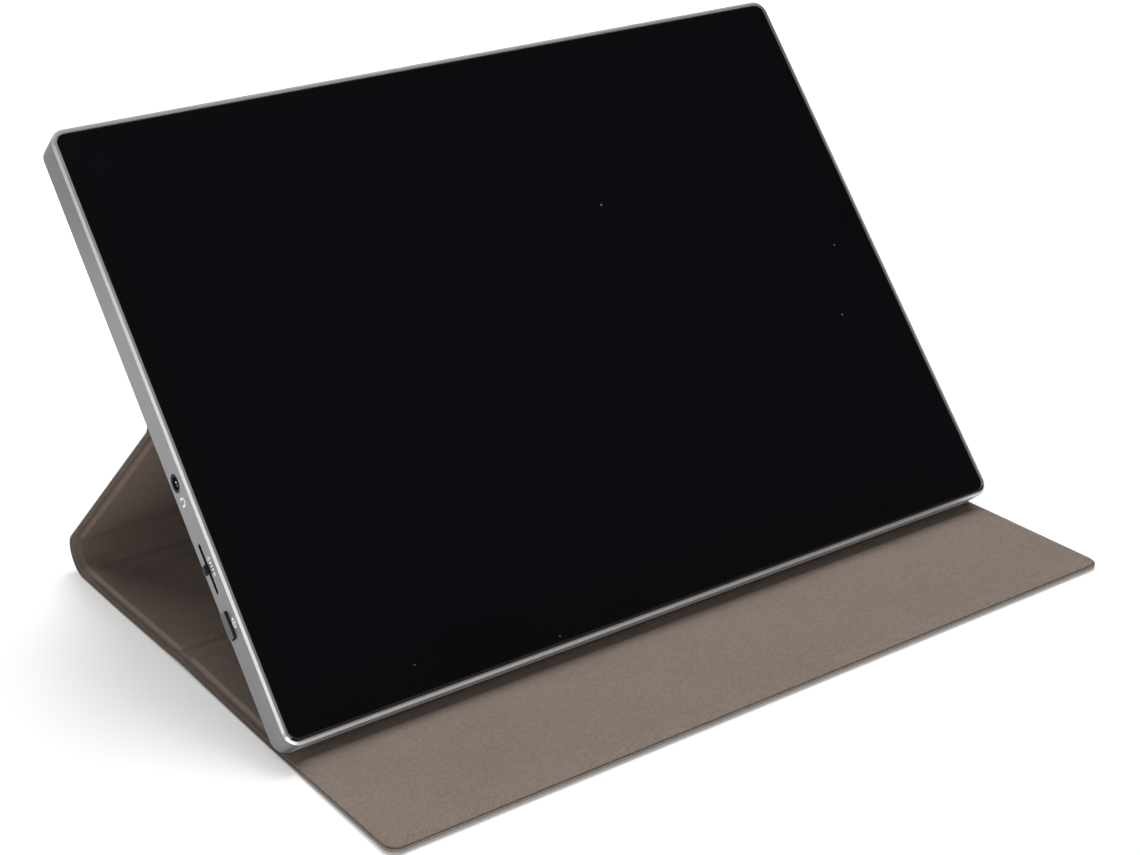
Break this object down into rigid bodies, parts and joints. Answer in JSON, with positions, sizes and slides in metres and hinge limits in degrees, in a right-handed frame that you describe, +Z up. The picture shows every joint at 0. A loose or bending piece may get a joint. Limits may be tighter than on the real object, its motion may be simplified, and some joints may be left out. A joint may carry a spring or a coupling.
{
  "type": "portable monitor with cover",
  "caption": "Thin flat-panel monitor with a metal shell, standing at a lean in a folding soft cover whose hinged panels form the strut and base.",
  "frame": {"origin": "middle of the footprint of the whole object on the surface it stands on", "axes": "+X along the screen's width, the screen faces -Y and up, +Z up"},
  "size_m": [0.24, 0.1787, 0.1366],
  "materials": {
    "shell": "fine bead-blasted anodised aluminium with a bright cut chamfer",
    "cover_glass": "flat gloss cover glass",
    "tape": "black foam tape",
    "display": "black, switched off",
    "light_guide": "clear acrylic",
    "led_parts": "white with yellow phosphor",
    "sheet_metal": "bright tinned sheet",
    "circuit_board": "green solder mask",
    "polyimide": "amber film",
    "insulating_film": "black film",
    "black_plastic": "moulded, fine texture",
    "key_plastic": "satin black",
    "screw_steel": "blackened",
    "cable_white": "white flat cable",
    "magnet": "nickel plated",
    "cover_skin": "brown-grey synthetic leather, fine grain",
    "cover_lining": "brown-grey brushed microfibre",
    "fibre_board": "pressed fibre board"
  },
  "bodies": {
    "rear_floor": {"rear_floor_skin": "cover_skin", "rear_floor_board": "fibre_board", "rear_floor_lining": "cover_lining", "spine_lower_skin": "cover_skin", "spine_lower_lining": "cover_lining"},
    "mid_floor": {"mid_floor_skin": "cover_skin", "mid_floor_board": "fibre_board", "mid_floor_lining": "cover_lining"},
    "front_flap": {"front_flap_skin": "cover_skin", "front_flap_board": "fibre_board", "front_flap_lining": "cover_lining", "front_flap_magnets": "magnet"},
    "strut": {"spine_upper_skin": "cover_skin", "spine_upper_lining": "cover_lining", "strut_skin": "cover_skin", "strut_board": "fibre_board", "strut_lining": "cover_lining"},
    "monitor": {"rear_shell": "shell", "front_glass": "cover_glass", "glass_tape": "tape", "lcd_cell": "display", "light_guide": "light_guide", "led_strip": "led_parts", "backlight_tray": "sheet_metal", "panel_driver_board": "circuit_board", "panel_flex": "polyimide", "main_board": "circuit_board", "board_insulator": "insulating_film", "main_board_parts": "black_plastic", "shield_can": "sheet_metal", "board_cable": "cable_white", "key_board": "circuit_board", "board_screws": "screw_steel", "headphone_jack": "black_plastic", "menu_switch": "black_plastic", "power_switch": "black_plastic", "usb_c_sockets": "sheet_metal", "hdmi_socket": "sheet_metal", "speakers": "black_plastic", "shell_magnets": "magnet", "back_panel_skin": "cover_skin", "back_panel_board": "fibre_board", "back_panel_lining": "cover_lining", "back_panel_magnets": "magnet"},
    "menu_slider": {"menu_slider": "black_plastic"},
    "menu_knob": {"menu_knob": "key_plastic"},
    "power_button": {"power_button": "key_plastic"}
  },
  "joints": [
    {"name": "mid_fold", "type": "hinge", "parent": "rear_floor", "child": "mid_floor", "pos_m": [0.0015, 0.02035, 0.00055], "axis": [1, 0, 0], "range_deg": [0, 90]},
    {"name": "front_fold", "type": "hinge", "parent": "mid_floor", "child": "front_flap", "pos_m": [0.0015, -0.04135, 0.00055], "axis": [-1, 0, 0], "range_deg": [-90, 45]},
    {"name": "spine_fold", "type": "hinge", "parent": "rear_floor", "child": "strut", "pos_m": [0.0015, 0.08869, 0.00451], "axis": [1, 0, 0], "range_deg": [-137.8, 0]},
    {"name": "stand_fold", "type": "hinge", "parent": "strut", "child": "monitor", "pos_m": [0.0015, 0.0231, 0.06848], "axis": [1, 0, 0], "range_deg": [0, 87.2]},
    {"name": "menu_slide", "type": "slide", "parent": "monitor", "child": "menu_slider", "axis": [0, 0.6465, 0.7629], "range_m": [-0.003, 0.003], "stiffness_N_per_m": 150},
    {"name": "menu_press", "type": "slide", "parent": "menu_slider", "child": "menu_knob", "axis": [1, 0, 0], "range_m": [0, 0.0003], "stiffness_N_per_m": 400},
    {"name": "power_press", "type": "slide", "parent": "monitor", "child": "power_button", "axis": [1, 0, 0], "range_m": [0, 0.0004], "stiffness_N_per_m": 600}
  ],
  "couplings": [
    {"joint": "stand_fold", "follows": "spine_fold", "ratio": -0.63208}
  ]
}
